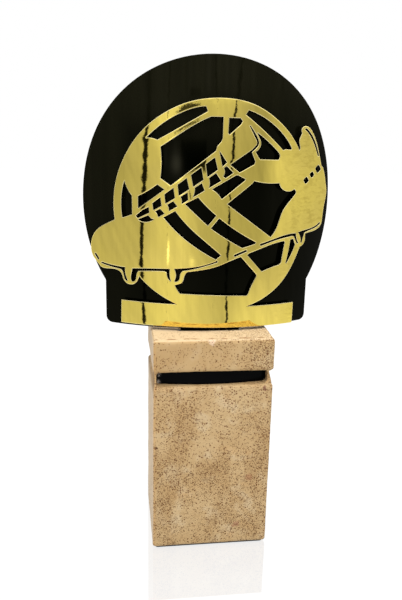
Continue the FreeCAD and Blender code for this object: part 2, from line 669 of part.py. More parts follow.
def build():
    fill_sheet()
    front = size("plate_radius")
    gold_front = front + size("standoff") + size("gold_thickness")
    plate = make_rolled_sheet(
        "back_plate",
        make_cutter("plate_cutter", plate_outline(), [], front),
        make_roll("plate_roll", "plate_radius", "plate_radius - plate_thickness"))
    windows = list(GOLD_WINDOWS.values()) + lace_windows() + heel_marks()
    gold = make_rolled_sheet(
        "gold_figure",
        make_cutter("gold_cutter", GOLD_OUTLINE, windows, gold_front),
        make_roll("gold_roll", "plate_radius + standoff + gold_thickness", "plate_radius + standoff"))
    return [
        make_foot_pad(), make_column(), make_inlay_bar(), make_bar_tape(), plate,
        make_slot_adhesive(plate), make_mounting_pads(gold_front), gold,
    ]


def check_and_write(pieces):
    doc.recompute()
    for thing in doc.Objects:
        if "Invalid" in thing.State or "Error" in thing.State:
            raise SystemExit(f"{thing.Label}: {thing.State}")
    for piece in pieces:
        if piece.Shape.isNull() or not piece.Shape.isValid() or not piece.Shape.Solids:
            raise SystemExit(f"{piece.Label}: bad shape")
    os.makedirs("parts", exist_ok=True)
    for piece in pieces:
        piece.Shape.exportStep(f"parts/{piece.Label}.step")
        box = piece.Shape.BoundBox
        print(f"{piece.Label}: {len(piece.Shape.Solids)} solids, {piece.Shape.Volume / 1000:.1f} cm3, "
              f"x {box.XMin:.1f}..{box.XMax:.1f} y {box.YMin:.1f}..{box.YMax:.1f} "
              f"z {box.ZMin:.1f}..{box.ZMax:.1f}", flush=True)


check_and_write(build())
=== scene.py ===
import math

import bmesh
import bpy
from mathutils import Matrix, Vector, noise


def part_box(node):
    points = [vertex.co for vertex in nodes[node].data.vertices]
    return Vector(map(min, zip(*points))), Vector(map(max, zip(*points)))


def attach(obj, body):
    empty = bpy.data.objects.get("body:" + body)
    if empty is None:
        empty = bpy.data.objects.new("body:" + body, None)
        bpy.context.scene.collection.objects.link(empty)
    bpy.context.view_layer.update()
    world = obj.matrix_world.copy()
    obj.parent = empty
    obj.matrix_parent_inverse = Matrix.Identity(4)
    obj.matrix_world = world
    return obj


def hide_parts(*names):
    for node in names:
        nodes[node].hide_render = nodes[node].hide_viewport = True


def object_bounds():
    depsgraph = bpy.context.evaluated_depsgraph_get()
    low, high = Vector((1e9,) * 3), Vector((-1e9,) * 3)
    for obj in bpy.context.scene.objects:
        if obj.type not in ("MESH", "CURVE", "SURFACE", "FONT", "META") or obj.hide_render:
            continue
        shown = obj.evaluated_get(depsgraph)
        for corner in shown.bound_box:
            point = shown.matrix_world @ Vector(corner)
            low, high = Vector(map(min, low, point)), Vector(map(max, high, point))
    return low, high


# The figure trophy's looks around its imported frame. Metres, +Z up, -Y the front.

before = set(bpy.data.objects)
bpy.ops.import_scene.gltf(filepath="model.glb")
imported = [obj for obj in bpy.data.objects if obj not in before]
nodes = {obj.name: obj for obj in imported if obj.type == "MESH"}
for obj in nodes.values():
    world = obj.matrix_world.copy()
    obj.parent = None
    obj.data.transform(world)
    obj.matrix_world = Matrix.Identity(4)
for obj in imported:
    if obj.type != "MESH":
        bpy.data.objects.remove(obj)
cad_low, cad_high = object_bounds()

MM = 0.001
WHITE = (1.0, 1.0, 1.0, 1.0)

# The rolled sheets share one upright axis behind the trophy, and are turned a little about the
# middle of the plate's front.
PLATE_RADIUS = 138.0 * MM
PLATE_THICKNESS = 2.0 * MM
GOLD_RADIUS = 141.5 * MM
GOLD_THICKNESS = 1.0 * MM
PLATE_FRONT = -9.9 * MM
TURN = math.radians(0.85)
AXIS_X = PLATE_RADIUS * math.sin(TURN)
AXIS_Y = PLATE_FRONT + PLATE_RADIUS * math.cos(TURN)


# ------------------------------------------------------------------------------ material help

class Graph:
    """A material's node tree, with one short call for each kind of node."""

    def __init__(self, name):
        self.material = bpy.data.materials.new(name)
        self.material.use_nodes = True
        self.tree = self.material.node_tree
        self.shader = self.tree.nodes["Principled BSDF"]
        self.place = self.node("ShaderNodeTexCoord").outputs["Object"]

    def node(self, kind, **settings):
        """A new node, with its settings given by name."""
        made = self.tree.nodes.new(kind)
        for name, value in settings.items():
            setattr(made, name, value)
        return made

    def feed(self, socket, value):
        """Link a socket to another one, or give it a plain value."""
        if isinstance(value, bpy.types.NodeSocket):
            self.tree.links.new(value, socket)
        else:
            socket.default_value = value

    def set(self, name, value):
        """Feed one of the shader's inputs."""
        self.feed(self.shader.inputs[name], value)

    def stretched(self, scale):
        """The object's coordinates, scaled along each axis."""
        mapping = self.node("ShaderNodeMapping")
        self.feed(mapping.inputs["Vector"], self.place)
        mapping.inputs["Scale"].default_value = scale
        return mapping.outputs["Vector"]

    def noise(self, scale, detail=3.0, roughness=0.55, place=None, distortion=0.0):
        """Cloudy noise about one half."""
        made = self.node("ShaderNodeTexNoise")
        self.feed(made.inputs["Vector"], place or self.place)
        made.inputs["Scale"].default_value = scale
        made.inputs["Detail"].default_value = detail
        made.inputs["Roughness"].default_value = roughness
        made.inputs["Distortion"].default_value = distortion
        return made.outputs["Fac"]

    def cells(self, scale):
        """Voronoi cells."""
        made = self.node("ShaderNodeTexVoronoi")
        self.feed(made.inputs["Vector"], self.place)
        made.inputs["Scale"].default_value = scale
        return made

    def math(self, operation, first, second=0.0, third=0.0):
        """One operation on up to three values."""
        made = self.node("ShaderNodeMath", operation=operation)
        for socket, value in zip(made.inputs, (first, second, third)):
            self.feed(socket, value)
        return made.outputs[0]

    def times(self, first, second):
        """The product of two values."""
        return self.math("MULTIPLY", first, second)

    def one_less(self, value):
        """One minus a value."""
        return self.math("SUBTRACT", 1.0, value)

    def span(self, value, low, high, to_low=0.0, to_high=1.0):
        """A smooth step from to_low to to_high while the value goes from low to high."""
        made = self.node("ShaderNodeMapRange", interpolation_type="SMOOTHSTEP")
        for name, given in (("Value", value), ("From Min", low), ("From Max", high),
                            ("To Min", to_low), ("To Max", to_high)):
            self.feed(made.inputs[name], given)
        return made.outputs["Result"]

    def mix(self, share, first, second):
        """The first colour at share 0, the second at share 1."""
        made = self.node("ShaderNodeMix", data_type="RGBA")
        self.feed(made.inputs["Factor"], share)
        self.feed(made.inputs["A"], first)
        self.feed(made.inputs["B"], second)
        return made.outputs["Result"]

    def axes(self, vector=None):
        """A vector's three parts, or those of the object's coordinates."""
        made = self.node("ShaderNodeSeparateXYZ")
        self.feed(made.inputs[0], vector or self.place)
        return made.outputs

    def normal_axes(self):
        """The three parts of the surface's direction."""
        return self.axes(self.node("ShaderNodeNewGeometry").outputs["Normal"])

    def bump(self, height, distance, strength=1.0, under=None):
        """A bumped normal, laid over another one if that is given."""
        made = self.node("ShaderNodeBump")
        made.inputs["Distance"].default_value = distance
        made.inputs["Strength"].default_value = strength
        self.feed(made.inputs["Height"], height)
        if under is not None:
            self.feed(made.inputs["Normal"], under)
        return made.outputs["Normal"]


def linear(red, green, blue):
    """A display colour, 0 to 255, as the linear colour that shaders take."""
    values = []
    for part in (red, green, blue):
        share = part / 255
        values.append(share / 12.92 if share < 0.04045 else ((share + 0.055) / 1.055)**2.4)
    return (*values, 1.0)


# ------------------------------------------------------------------------------ materials

# Heights on the column over which its looks change.
CAP_FOOT = (0.129, 0.131)
CAP_TOP = (0.140, 0.148)
# Heights of the painted shade on the left face, under the cap's overhang.
UNDER_CAP_SHADE_START = (0.112, 0.122)
UNDER_CAP_SHADE_END = (0.1315, 0.1300)


def stone_material():
    """Cast stone: beige, clouded, with brown pores that gather in upright drifts."""
    g = Graph("cast_stone")
    normal = g.normal_axes()
    place = g.axes()
    left_face = g.span(normal["X"], -0.6, -0.9)
    top_face = g.span(normal["Z"], 0.6, 0.95)
    front_side = g.span(normal["Y"], -0.2, -0.45)
    left_arris_highlight = g.times(front_side, g.span(normal["X"], -0.10, -0.35))
    cap = g.span(place["Z"], *CAP_FOOT)
    cap_top = g.times(top_face, g.span(place["Z"], *CAP_TOP))
    cloud = g.noise(46.0, 5.0, 0.62, distortion=0.4)
    drift = g.noise(34.0, 5.0, 0.66, place=g.stretched((1.5, 1.5, 0.8)), distortion=0.5)

    pores = stone_pores(g, place, drift, cap, left_face, top_face)
    colour = stains_and_painted_light(g, clouded(g, cloud), place, drift, cap, left_face)
    # Painted light: the cap's top is made lighter, as if lit from above.
    colour = g.mix(g.times(cap_top, 0.85), colour, linear(210, 185, 149))
    colour = blotched(g, colour)
    # Painted highlight: a warm orange-brown line along the left front arris.
    colour = g.mix(g.times(left_arris_highlight, 0.35), colour, linear(196, 152, 96))
    colour = g.mix(g.times(pores, 0.95), colour, linear(112, 70, 32))
    colour = g.mix(top_seam(g, place, cap_top), colour, linear(134, 88, 44))
    g.set("Base Color", colour)
    g.set("Roughness", g.span(cloud, 0.3, 0.7, 0.62, 0.8))
    g.set("Specular IOR Level", 0.25)
    grain = g.bump(g.noise(1500.0, 3.0, 0.6), 0.12 * MM, 0.6)
    g.set("Normal", g.bump(g.one_less(pores), 0.4 * MM, 0.9, under=grain))
    return g.material


def clouded(g, cloud):
    """The stone's ground colour: two beiges under grey and reddish clouds."""
    colour = g.mix(g.span(cloud, 0.34, 0.66), linear(178, 147, 102), linear(188, 160, 117))
    grey = g.noise(62.0, 4.0, 0.6)
    colour = g.mix(g.times(g.span(grey, 0.50, 0.66), 0.55), colour, linear(197, 176, 141))
    blush = g.noise(30.0, 3.0, 0.6, place=g.stretched((1.0, 1.0, 1.5)))
    return g.mix(g.times(g.span(blush, 0.56, 0.72), 0.35), colour, linear(190, 148, 96))


def stains_and_painted_light(g, colour, place, drift, cap, left_face):
    """Brown stains in the drifts, a browner cap, and a left face painted paler, with painted shade
    at its top under the cap.
    """
    colour = g.mix(g.times(g.span(drift, 0.40, 0.66), 0.6), colour, linear(164, 130, 84))
    colour = g.mix(g.times(cap, 0.35), colour, linear(170, 137, 88))
    # Painted light: the left face is made paler, as if lit more than the front.
    colour = g.mix(g.times(left_face, 0.8), colour, linear(200, 180, 153))
    # Painted shade: the left face's top darkened under the cap.
    under_cap_shade = g.times(g.span(place["Z"], *UNDER_CAP_SHADE_START), g.span(place["Z"], *UNDER_CAP_SHADE_END))
    return g.mix(g.times(g.times(left_face, under_cap_shade), 0.85), colour, linear(128, 98, 56))


def stone_pores(g, place, drift, cap, left_face, top_face):
    """Where the pores are: in the drifts, crowded on the cap's right and sparse on its left."""
    crowded = g.times(cap, g.span(place["X"], 10 * MM, 30 * MM))
    gathered = g.math("MAXIMUM", g.span(drift, 0.34, 0.60, 0.28, 1.0), g.times(crowded, 1.4))
    gathered = g.times(gathered, g.span(g.noise(210.0, 2.0, 0.5), 0.3, 0.6, 0.7, 1.1))
    gathered = g.times(gathered, g.one_less(g.times(left_face, 0.6)))
    sparse = g.times(cap, g.span(place["X"], 14 * MM, -5 * MM, 0.0, 0.55))
    gathered = g.times(gathered, g.one_less(sparse))
    large_pores = pore_layer(g, 720.0, g.times(gathered, 0.45))
    small_pores = pore_layer(g, 1150.0, g.times(gathered, 0.85))
    pores = g.math("MAXIMUM", large_pores, g.times(small_pores, 0.8))
    return g.times(pores, g.one_less(g.times(top_face, 0.3)))


def pore_layer(g, scale, share):
    """Round pores scattered one to a cell, in the given share of the cells."""
    cell = g.cells(scale)
    lot = g.axes(cell.outputs["Color"])["X"]
    chosen = g.span(g.math("ADD", lot, share), 1.0, 1.05)
    return g.times(chosen, g.span(cell.outputs["Distance"], 0.46, 0.24))


def blotched(g, colour):
    """The marks that stand out on the front: a pale chip, two rusty blotches and two dark nicks."""
    low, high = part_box("stone_column")
    front = low.y
    ragged = g.math("MULTIPLY_ADD", g.noise(420.0, 3.0, 0.6), 7.0 * MM, -3.5 * MM)
    marks = [
        ((-2 * MM, front, high.z - 1.5 * MM), 3.2 * MM, 0.75, linear(214, 186, 158)),
        ((26 * MM, front, 52 * MM), 3.4 * MM, 0.60, linear(152, 104, 72)),
        ((18 * MM, front, 16 * MM), 3.0 * MM, 0.65, linear(150, 100, 76)),
        ((34 * MM, front, 118 * MM), 2.2 * MM, 0.80, linear(112, 66, 52)),
        ((-38.5 * MM, front, 77 * MM), 1.8 * MM, 0.90, linear(74, 40, 18)),
    ]
    for centre, reach, strength, tint in marks:
        away = g.node("ShaderNodeVectorMath", operation="DISTANCE")
        g.feed(away.inputs[0], g.place)
        away.inputs[1].default_value = centre
        rough_away = g.math("ADD", away.outputs["Value"], ragged)
        near = g.span(rough_away, reach, reach * 0.5)
        colour = g.mix(g.times(near, strength), colour, tint)
    return colour


def top_seam(g, place, cap_top):
    """A broken brown line on the top, a little behind the front arris."""
    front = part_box("stone_column")[0].y + 4.0 * MM
    wander = g.math("MULTIPLY_ADD", g.noise(60.0, 3.0, 0.6), 6.0 * MM, front - 3.0 * MM)
    off = g.math("ABSOLUTE", g.math("SUBTRACT", place["Y"], wander))
    line = g.span(off, 1.2 * MM, 0.4 * MM)
    broken = g.span(g.noise(150.0, 2.0, 0.5), 0.42, 0.56)
    return g.times(g.times(line, broken), g.times(cap_top, 0.8))


# Where the boot's heel turns hammered, and how wide the pale rims painted as highlights are.
HEEL_START = (38 * MM, 62 * MM)
RIM_WIDTH = 0.85 * MM


def gold_material():
    """Mirror-gold sheet, a little wavy, with pale rims painted as highlights and orange peel at the
    heel.
    """
    g = Graph("mirror_gold")
    heel = g.span(g.axes()["X"], *HEEL_START)
    rim = g.node("ShaderNodeBevel", samples=8)
    rim.inputs["Radius"].default_value = RIM_WIDTH
    level = g.node("ShaderNodeVectorMath", operation="DOT_PRODUCT")
    g.feed(level.inputs[0], rim.outputs["Normal"])
    g.feed(level.inputs[1], g.node("ShaderNodeNewGeometry").outputs["Normal"])
    painted_rim_highlight = g.span(level.outputs["Value"], 0.985, 0.86)
    tone = g.noise(30.0, 2.0, 0.5)
    gold = g.mix(g.span(tone, 0.3, 0.7), (0.87, 0.69, 0.135, 1.0), (0.85, 0.67, 0.145, 1.0))
    peel = g.noise(300.0, 2.0, 0.5, place=g.stretched((0.55, 0.55, 1.3)))
    hammered = g.times(heel, g.span(peel, 0.50, 0.66))
    gold = g.mix(g.times(hammered, 0.5), gold, (0.62, 0.47, 0.085, 1.0))
    # Painted highlight: a pale gold band along every cut edge, which is also rougher.
    g.set("Base Color", g.mix(g.times(painted_rim_highlight, 0.8), gold, (0.98, 0.90, 0.58, 1.0)))
    g.set("Metallic", 1.0)
    fine = g.noise(420.0, 2.0, 0.6)
    g.set("Roughness", g.math("MULTIPLY_ADD", painted_rim_highlight, 0.1, g.span(fine, 0.3, 0.75, 0.012, 0.035)))
    waves = g.bump(g.noise(60.0, 2.0, 0.5, place=g.stretched((0.7, 0.7, 1.0))), 0.25 * MM, 0.3,
                   under=rim.outputs["Normal"])
    ripple = g.bump(g.noise(330.0, 3.0, 0.6), 0.02 * MM, 0.5, under=waves)
    g.set("Normal", g.bump(g.times(peel, heel), 0.2 * MM, 0.6, under=ripple))
    return g.material


def cut_edge(name, dark, pale, roughness):
    """The start of a cut edge's material: two tones drawn with fine cutting lines."""
    g = Graph(name)
    lines = g.noise(900.0, 2.0, 0.6, place=g.stretched((1.0, 1.0, 0.2)))
    g.set("Base Color", g.mix(lines, dark, pale))
    g.set("Roughness", roughness)
    g.set("Normal", g.bump(lines, 0.05 * MM, 0.5))
    return g


def gold_edge_material():
    """The gold sheet's cut edges: dark and half metallic."""
    g = cut_edge("gold_cut_edge", (0.020, 0.014, 0.004, 1.0), (0.075, 0.052, 0.012, 1.0), 0.4)
    g.set("Metallic", 0.5)
    return g.material


def black_material():
    """Gloss black lacquer: a painted olive reflection at the top and left, faint dust, slight
    ripple.
    """
    g = Graph("black_lacquer")
    place = g.axes()
    dust = g.noise(2600.0, 2.0, 0.7)
    smear = g.noise(34.0, 3.0, 0.5, place=g.stretched((1.0, 1.0, 0.35)))
    speck = g.times(g.span(dust, 0.72, 0.8), g.span(smear, 0.45, 0.7))
    # Painted reflection: olive at the top and on the left, in upright streaks.
    left = g.times(g.span(place["X"], -45 * MM, -62 * MM),
                   g.span(place["Z"], 0.17, 0.25, 0.25, 0.72))
    painted_reflection = g.math("MAXIMUM", g.span(place["Z"], 0.262, 0.300, 0.0, 0.82), left)
    streaks = g.noise(80.0, 3.0, 0.6, place=g.stretched((1.0, 1.0, 0.03)))
    streaks = g.span(streaks, 0.3, 0.7, 0.7, 1.1)
    painted_reflection = g.times(painted_reflection, streaks)
    colour = g.mix(painted_reflection, (0.0004, 0.0006, 0.0002, 1.0), (0.0062, 0.0060, 0.0027, 1.0))
    g.set("Base Color", g.mix(speck, colour, (0.012, 0.012, 0.010, 1.0)))
    g.set("Roughness", g.span(smear, 0.3, 0.7, 0.03, 0.08))
    g.set("Specular IOR Level", 0.06)
    g.set("Specular Tint", (1.0, 0.93, 0.60, 1.0))
    g.set("Normal", g.bump(g.noise(42.0, 2.0, 0.4), 0.2 * MM, 0.25))
    return g.material


def black_edge_material():
    """The plate's cut edges: dull black, with a brown tint that is painted shade under the gold
    strip.
    """
    g = cut_edge("black_cut_edge", (0.004, 0.003, 0.002, 1.0), (0.014, 0.009, 0.004, 1.0), 0.5)
    g.set("Specular IOR Level", 0.1)
    return g.material


def bar_material():
    """Gloss black bar, with a painted grey highlight, broken like scuffs, at its left end."""
    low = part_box("inlay_bar")[0]
    g = Graph("inlay_black")
    place = g.axes()
    end = g.span(place["X"], low.x + 3.4 * MM, low.x + 1.2 * MM)
    scratch = g.noise(900.0, 4.0, 0.75, place=g.stretched((1.0, 1.0, 0.5)), distortion=1.2)
    patches = g.noise(260.0, 2.0, 0.5)
    scuffed_end_highlight = g.times(g.span(scratch, 0.42, 0.56), g.span(patches, 0.30, 0.50))
    scuffed_end_highlight = g.times(scuffed_end_highlight, end)
    # Painted highlight: scuffed grey on the bar's left end.
    g.set("Base Color", g.mix(scuffed_end_highlight, (0.0012, 0.0012, 0.0014, 1.0), linear(196, 190, 182)))
    g.set("Roughness", g.span(g.noise(120.0), 0.3, 0.7, 0.10, 0.22))
    g.set("Specular IOR Level", 0.03)
    g.set("Normal", g.bump(scratch, 0.05 * MM, 0.3))
    return g.material


def felt_material():
    """Dark grey felt, matt and fibrous."""
    g = Graph("foot_felt")
    fibre = g.noise(2200.0, 4.0, 0.8, distortion=2.0)
    g.set("Base Color", g.mix(fibre, (0.015, 0.015, 0.016, 1.0), (0.06, 0.058, 0.055, 1.0)))
    g.set("Roughness", 0.95)
    g.set("Sheen Weight", 0.4)
    g.set("Normal", g.bump(fibre, 0.2 * MM, 0.8))
    return g.material


def foam_material():
    """Black foam with fine bubbles."""
    g = Graph("pad_foam")
    bubbles = g.cells(1500.0).outputs["Distance"]
    g.set("Base Color", g.mix(bubbles, (0.010, 0.010, 0.010, 1.0), (0.035, 0.034, 0.033, 1.0)))
    g.set("Roughness", 0.9)
    g.set("Normal", g.bump(bubbles, 0.15 * MM, 0.7))
    return g.material


def resin_material():
    """Brown adhesive with a flowed surface."""
    g = Graph("slot_resin")
    flow = g.noise(160.0, 3.0, 0.6, distortion=0.8)
    g.set("Base Color", g.mix(flow, linear(70, 58, 44), linear(116, 98, 74)))
    g.set("Roughness", g.span(flow, 0.3, 0.7, 0.35, 0.6))
    g.set("Normal", g.bump(flow, 0.3 * MM, 0.6))
    return g.material


def tape_material():
    """White fabric tape."""
    g = Graph("bar_tape_white")
    weave = g.noise(1800.0, 3.0, 0.7, place=g.stretched((1.0, 1.0, 0.3)))
    g.set("Base Color", g.mix(weave, linear(196, 194, 188), linear(226, 224, 218)))
    g.set("Roughness", 0.8)
    g.set("Normal", g.bump(weave, 0.05 * MM, 0.5))
    return g.material


# ------------------------------------------------------------------------------ pieces

STRIP_WIDTH = 1.5 * MM
SAME_PLACE = 0.5e-6
COLUMN_VOXEL = 1.1 * MM
COLUMN_WEAR = 0.55 * MM


def add_object(name, data):
    """A new object in the scene."""
    made = bpy.data.objects.new(name, data)
    bpy.context.scene.collection.objects.link(made)
    return made


def radial(point):
    """The direction straight out from the roll's axis."""
    return Vector((point.x - AXIS_X, point.y - AXIS_Y, 0)).normalized()


def is_sheet_face(face):
    """True for the sheet's front and back, false for its cut edges."""
    return abs(face.normal.dot(radial(face.calc_center_median()))) > 0.9


def snap_to_roll(sheet, front, back):
    """Put every vertex of the sheet's front and back on its exact radius."""
    middle = (front + back) / 2
    for face in sheet.faces:
        if not is_sheet_face(face):
            continue
        for vertex in face.verts:
            away = Vector((vertex.co.x - AXIS_X, vertex.co.y - AXIS_Y, 0))
            radius = front if away.length > middle else back
            away = away.normalized() * radius
            vertex.co.x = away.x + AXIS_X
            vertex.co.y = away.y + AXIS_Y


def cut_into_strips(sheet, reach, front):
    """Cut the sheet along upright planes that stand at even steps round its front."""
    count = int(front * math.asin(reach / front) / STRIP_WIDTH) + 2
    across = Vector((math.cos(TURN), -math.sin(TURN), 0))
    for strip in range(-count, count + 1):
        at = front * math.sin(strip * STRIP_WIDTH / front)
        everything = sheet.verts[:] + sheet.edges[:] + sheet.faces[:]
        bmesh.ops.bisect_plane(sheet, geom=everything, dist=SAME_PLACE,
                               plane_co=(AXIS_X + at * across.x, AXIS_Y + at * across.y, 0),
                               plane_no=across)


def round_mesh(sheet, name):
    """The sheet as a mesh that shades truly round, with cut edges that shade flat."""
    mesh = bpy.data.meshes.new(name)
    normals = []
    for face in sheet.faces:
        face.smooth = True
        on_roll = is_sheet_face(face)
        face.material_index = 0 if on_roll else 1
        for loop in face.loops:
            out = radial(loop.vert.co)
            side = 1 if face.normal.dot(out) > 0 else -1
            normals.append(out * side if on_roll else face.normal.copy())
    sheet.to_mesh(mesh)
    sheet.free()
    mesh.normals_split_custom_set(normals)
    return mesh


def rolled_piece(node, name, front, thickness, material, edge_material):
    """The rolled sheet again, cut into narrow upright strips so that its mirror is truly round."""
    sheet = bmesh.new()
    sheet.from_mesh(nodes[node].data)
    bmesh.ops.remove_doubles(sheet, verts=sheet.verts, dist=SAME_PLACE)
    reach = max(abs(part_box(node)[0].x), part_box(node)[1].x)
    cut_into_strips(sheet, reach, front)
    sheet.normal_update()
    snap_to_roll(sheet, front, front - thickness)
    bmesh.ops.triangulate(sheet, faces=sheet.faces[:])
    sheet.normal_update()
    mesh = round_mesh(sheet, name)
    mesh.materials.append(material)
    mesh.materials.append(edge_material)
    piece = add_object(name, mesh)
    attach(piece, "root")
    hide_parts(node)
    return piece


def even_column():
    """The column's mesh rebuilt on an even grid, which softens its arrises."""
    rough = add_object("column_rough", nodes["stone_column"].data.copy())
    remesh = rough.modifiers.new("even_grid", "REMESH")
    remesh.mode = "VOXEL"
    remesh.voxel_size = COLUMN_VOXEL
    settled = bpy.context.evaluated_depsgraph_get()
    mesh = bpy.data.meshes.new_from_object(rough.evaluated_get(settled))
    bpy.data.objects.remove(rough)
    return mesh


def wear_depth(point):
    """How far in the casting is worn at a point."""
    wide = noise.noise(point * 45.0)
    fine = noise.noise(point * 190.0)
    depth = COLUMN_WEAR * (0.45 + 0.55 * wide) * 0.6 + COLUMN_WEAR * 0.35 * max(0.0, fine)
    return max(0.0, depth)


def cast_column(material):
    """The stone column again, with the soft, uneven arrises and faces of a casting."""
    mesh = even_column()
    low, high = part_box("stone_column")
    outward = [vertex.normal.copy() for vertex in mesh.vertices]
    for vertex, normal in zip(mesh.vertices, outward):
        point = vertex.co.copy()
        moved = point - normal * wear_depth(point)
        for axis in range(3):
            moved[axis] = min(max(moved[axis], low[axis]), high[axis])
        vertex.co = moved
    for polygon in mesh.polygons:
        polygon.use_smooth = True
    mesh.name = "cast_column"
    mesh.materials.clear()
    mesh.materials.append(material)
    piece = add_object("cast_column", mesh)
    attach(piece, "root")
    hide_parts("stone_column")


def finish_node(node, material):
    """Give a frame piece its material and leave its mesh alone."""
    for slot in nodes[node].material_slots:
        slot.link = "OBJECT"
        slot.material = material


# ------------------------------------------------------------------------------ studio

# What the mirrors see in front of the trophy: a round light tent, a screen that stands about the
# origin. Its angles are in degrees from straight ahead, left below zero. The tent reaches as far
# as its sweep to both sides, and its grid is dense up to a height.
TENT_RADIUS = 0.36
TENT_SWEEP = 115.0
TENT_COLUMNS = 960
TENT_TOP = 0.9
TENT_DENSE = 0.36
TENT_DENSE_STEPS = 240
TENT_STEPS = 260
# At some heights above the floor, its glow at a few angles.
TENT_ROWS = [
    (0.06, [(-45, 0.75), (-20, 0.95), (0, 0.80), (15, 0.65), (30, 0.95), (65, 0.90), (90, 0.80)]),
    (0.13, [(-45, 0.65), (-35, 0.80), (-15, 0.90), (0, 0.65), (10, 0.50), (45, 0.60), (60, 0.70)]),
    (0.16, [(-40, 0.60), (-30, 0.80), (-15, 0.80), (0, 0.55), (40, 0.50), (50, 0.75), (85, 0.70)]),
    (0.24, [(-60, 0.45), (-20, 0.75), (0, 0.60), (15, 0.50), (40, 0.45), (50, 0.85), (75, 0.70)]),
    (0.31, [(-45, 0.60), (-25, 1.10), (-10, 0.60), (15, 0.70), (35, 0.45), (85, 0.60)]),
    (0.34, [(-45, 0.65), (-30, 1.00), (-20, 0.65), (0, 1.15), (20, 1.15), (40, 0.70), (60, 1.15)]),
]
# Dark seams of the tent's cloth: raggedness, then height, angle and half width along each.
SEAMS = [
    (0.5, [(0.06, -41.0, 1.25), (0.13, -43.0, 1.25), (0.17, -42.3, 1.4), (0.225, -40.8, 1.9),
           (0.276, -39.4, 1.8), (0.295, -38.8, 1.2), (0.345, -37.9, 1.6), (0.37, -37.6, 1.0)]),
    (1.0, [(0.06, 17.5, 0.95), (0.15, 17.6, 1.0), (0.20, 17.2, 0.85), (0.26, 18.5, 0.95),
           (0.312, 19.4, 0.8), (0.322, 22.0, 1.2), (0.337, 22.6, 1.1), (0.36, 24.2, 1.2)]),
    (0.3, [(0.314, 7.5, 0.01), (0.32, 7.3, 0.6), (0.36, 5.9, 0.7)]),
    (0.8, [(0.29, -25.0, 0.01), (0.31, -25.5, 0.7), (0.35, -24.5, 0.5)]),
]
# Dark shapes in the tent's opening: low and high angle, low and high height, and glow inside.
DARK_SHAPES = [(-16.8, 1.2, 0.232, 0.272, 0.02), (-11.0, -3.4, 0.3165, 0.3300, 0.05)]
# Dark slivers: where each starts and ends as (angle, height), and its half thickness.
DARK_SLIVERS = [
    ((-20.5, 0.3010), (-3.6, 0.3105), 0.0040), ((-21.8, 0.2762), (-3.0, 0.2962), 0.0019),
    ((-10.8, 0.2160), (-8.6, 0.1960), 0.0030),
]
# Bright chinks: angle, height, half width and half height, and the glow added.
CHINKS = [
    (-24.3, 0.140, 0.75, 0.012, 1.6), (-24.3, 0.135, 2.6, 0.016, 0.10),
    (-19.8, 0.243, 4.2, 0.012, 5.0), (-20.5, 0.262, 1.6, 0.010, 0.6),
    (-27.0, 0.250, 1.2, 0.014, 0.7), (-16.0, 0.158, 3.0, 0.012, 0.12),
    (-8.0, 0.128, 2.0, 0.006, 0.35),
]
# Folds of the cloth: depth, how fast the noise runs with the angle, how fast it slants and
# climbs with the height, and the noise's layer. The cloth hangs in deeper folds near the top.
FOLDS = [(0.05, 0.45, 0.0, 4, 1), (0.05, 1.6, 0.0, 5, 2), (0.10, 0.3, 60, 25, 3)]
HUNG_FROM = 0.318
HUNG_OVER = 0.01
HUNG_DEPTH = 0.7
# What a seam leaves of the glow, what a sliver takes of it, and how sharp their borders and
# those of the dark shapes are: the sliver's in metres, the shapes' per degree and per metre.
SEAM_LEAVES = 0.02
SLIVER_TAKES = 0.92
SLIVER_BLUR = 0.35 * MM
SHAPE_SIDES = 2
SHAPE_ENDS = 250
# Bright panels that only the sheets' edges mirror: the height and the angles where they begin,
# over how much they brighten, and their glow.
PANEL_HEIGHT = 0.40
PANEL_RISE = 0.08
PANEL_LEFT = -90
PANEL_RIGHT = 100
PANEL_TURN = 8
PANEL_GLOW = 1.4


def clamped(value):
    """A value held between 0 and 1."""
    return min(1.0, max(0.0, value))


def between(stops, at):
    """The value at a place on a list of (place, value) stops, level outside them."""
    if at <= stops[0][0]:
        return stops[0][1]
    for (start, first), (end, second) in zip(stops, stops[1:]):
        if at <= end:
            return first + (second - first) * (at - start) / (end - start)
    return stops[-1][1]


def sliver_shade(angle, height, start, end, half):
    """How dark a tapering sliver is at a point: 1 inside, 0 outside."""
    along = (angle - start[0]) / (end[0] - start[0])
    if not 0 < along < 1:
        return 0.0
    middle = start[1] + (end[1] - start[1]) * along
    thickness = half * math.sin(math.pi * along)**0.6
    return clamped((thickness - abs(height - middle)) / SLIVER_BLUR)


def seam_shade(angle, height, ragged, course):
    """What a seam leaves of the glow at a point: little inside it, all of it outside."""
    middle = between([stop[:2] for stop in course], height)
    half_width = between([stop[::2] for stop in course], height)
    middle += ragged * noise.noise(Vector((height * 190, course[0][1], 5)))
    half_width *= 0.85 + 0.8 * noise.noise(Vector((height * 120, course[0][1], 9)))
    half_width = max(half_width, 0.01)
    outside = (abs(angle - middle) - half_width * 0.75) / (half_width * 0.5)
    return min(1.0, max(SEAM_LEAVES, outside))


def shape_shade(angle, height, left, right, bottom, top):
    """How far inside a dark shape a point is: 0 at its border, 1 well inside."""
    from_sides = min((angle - left) * SHAPE_SIDES, (right - angle) * SHAPE_SIDES)
    from_ends = min((height - bottom) * SHAPE_ENDS, (top - height) * SHAPE_ENDS)
    return clamped(min(from_sides, from_ends))


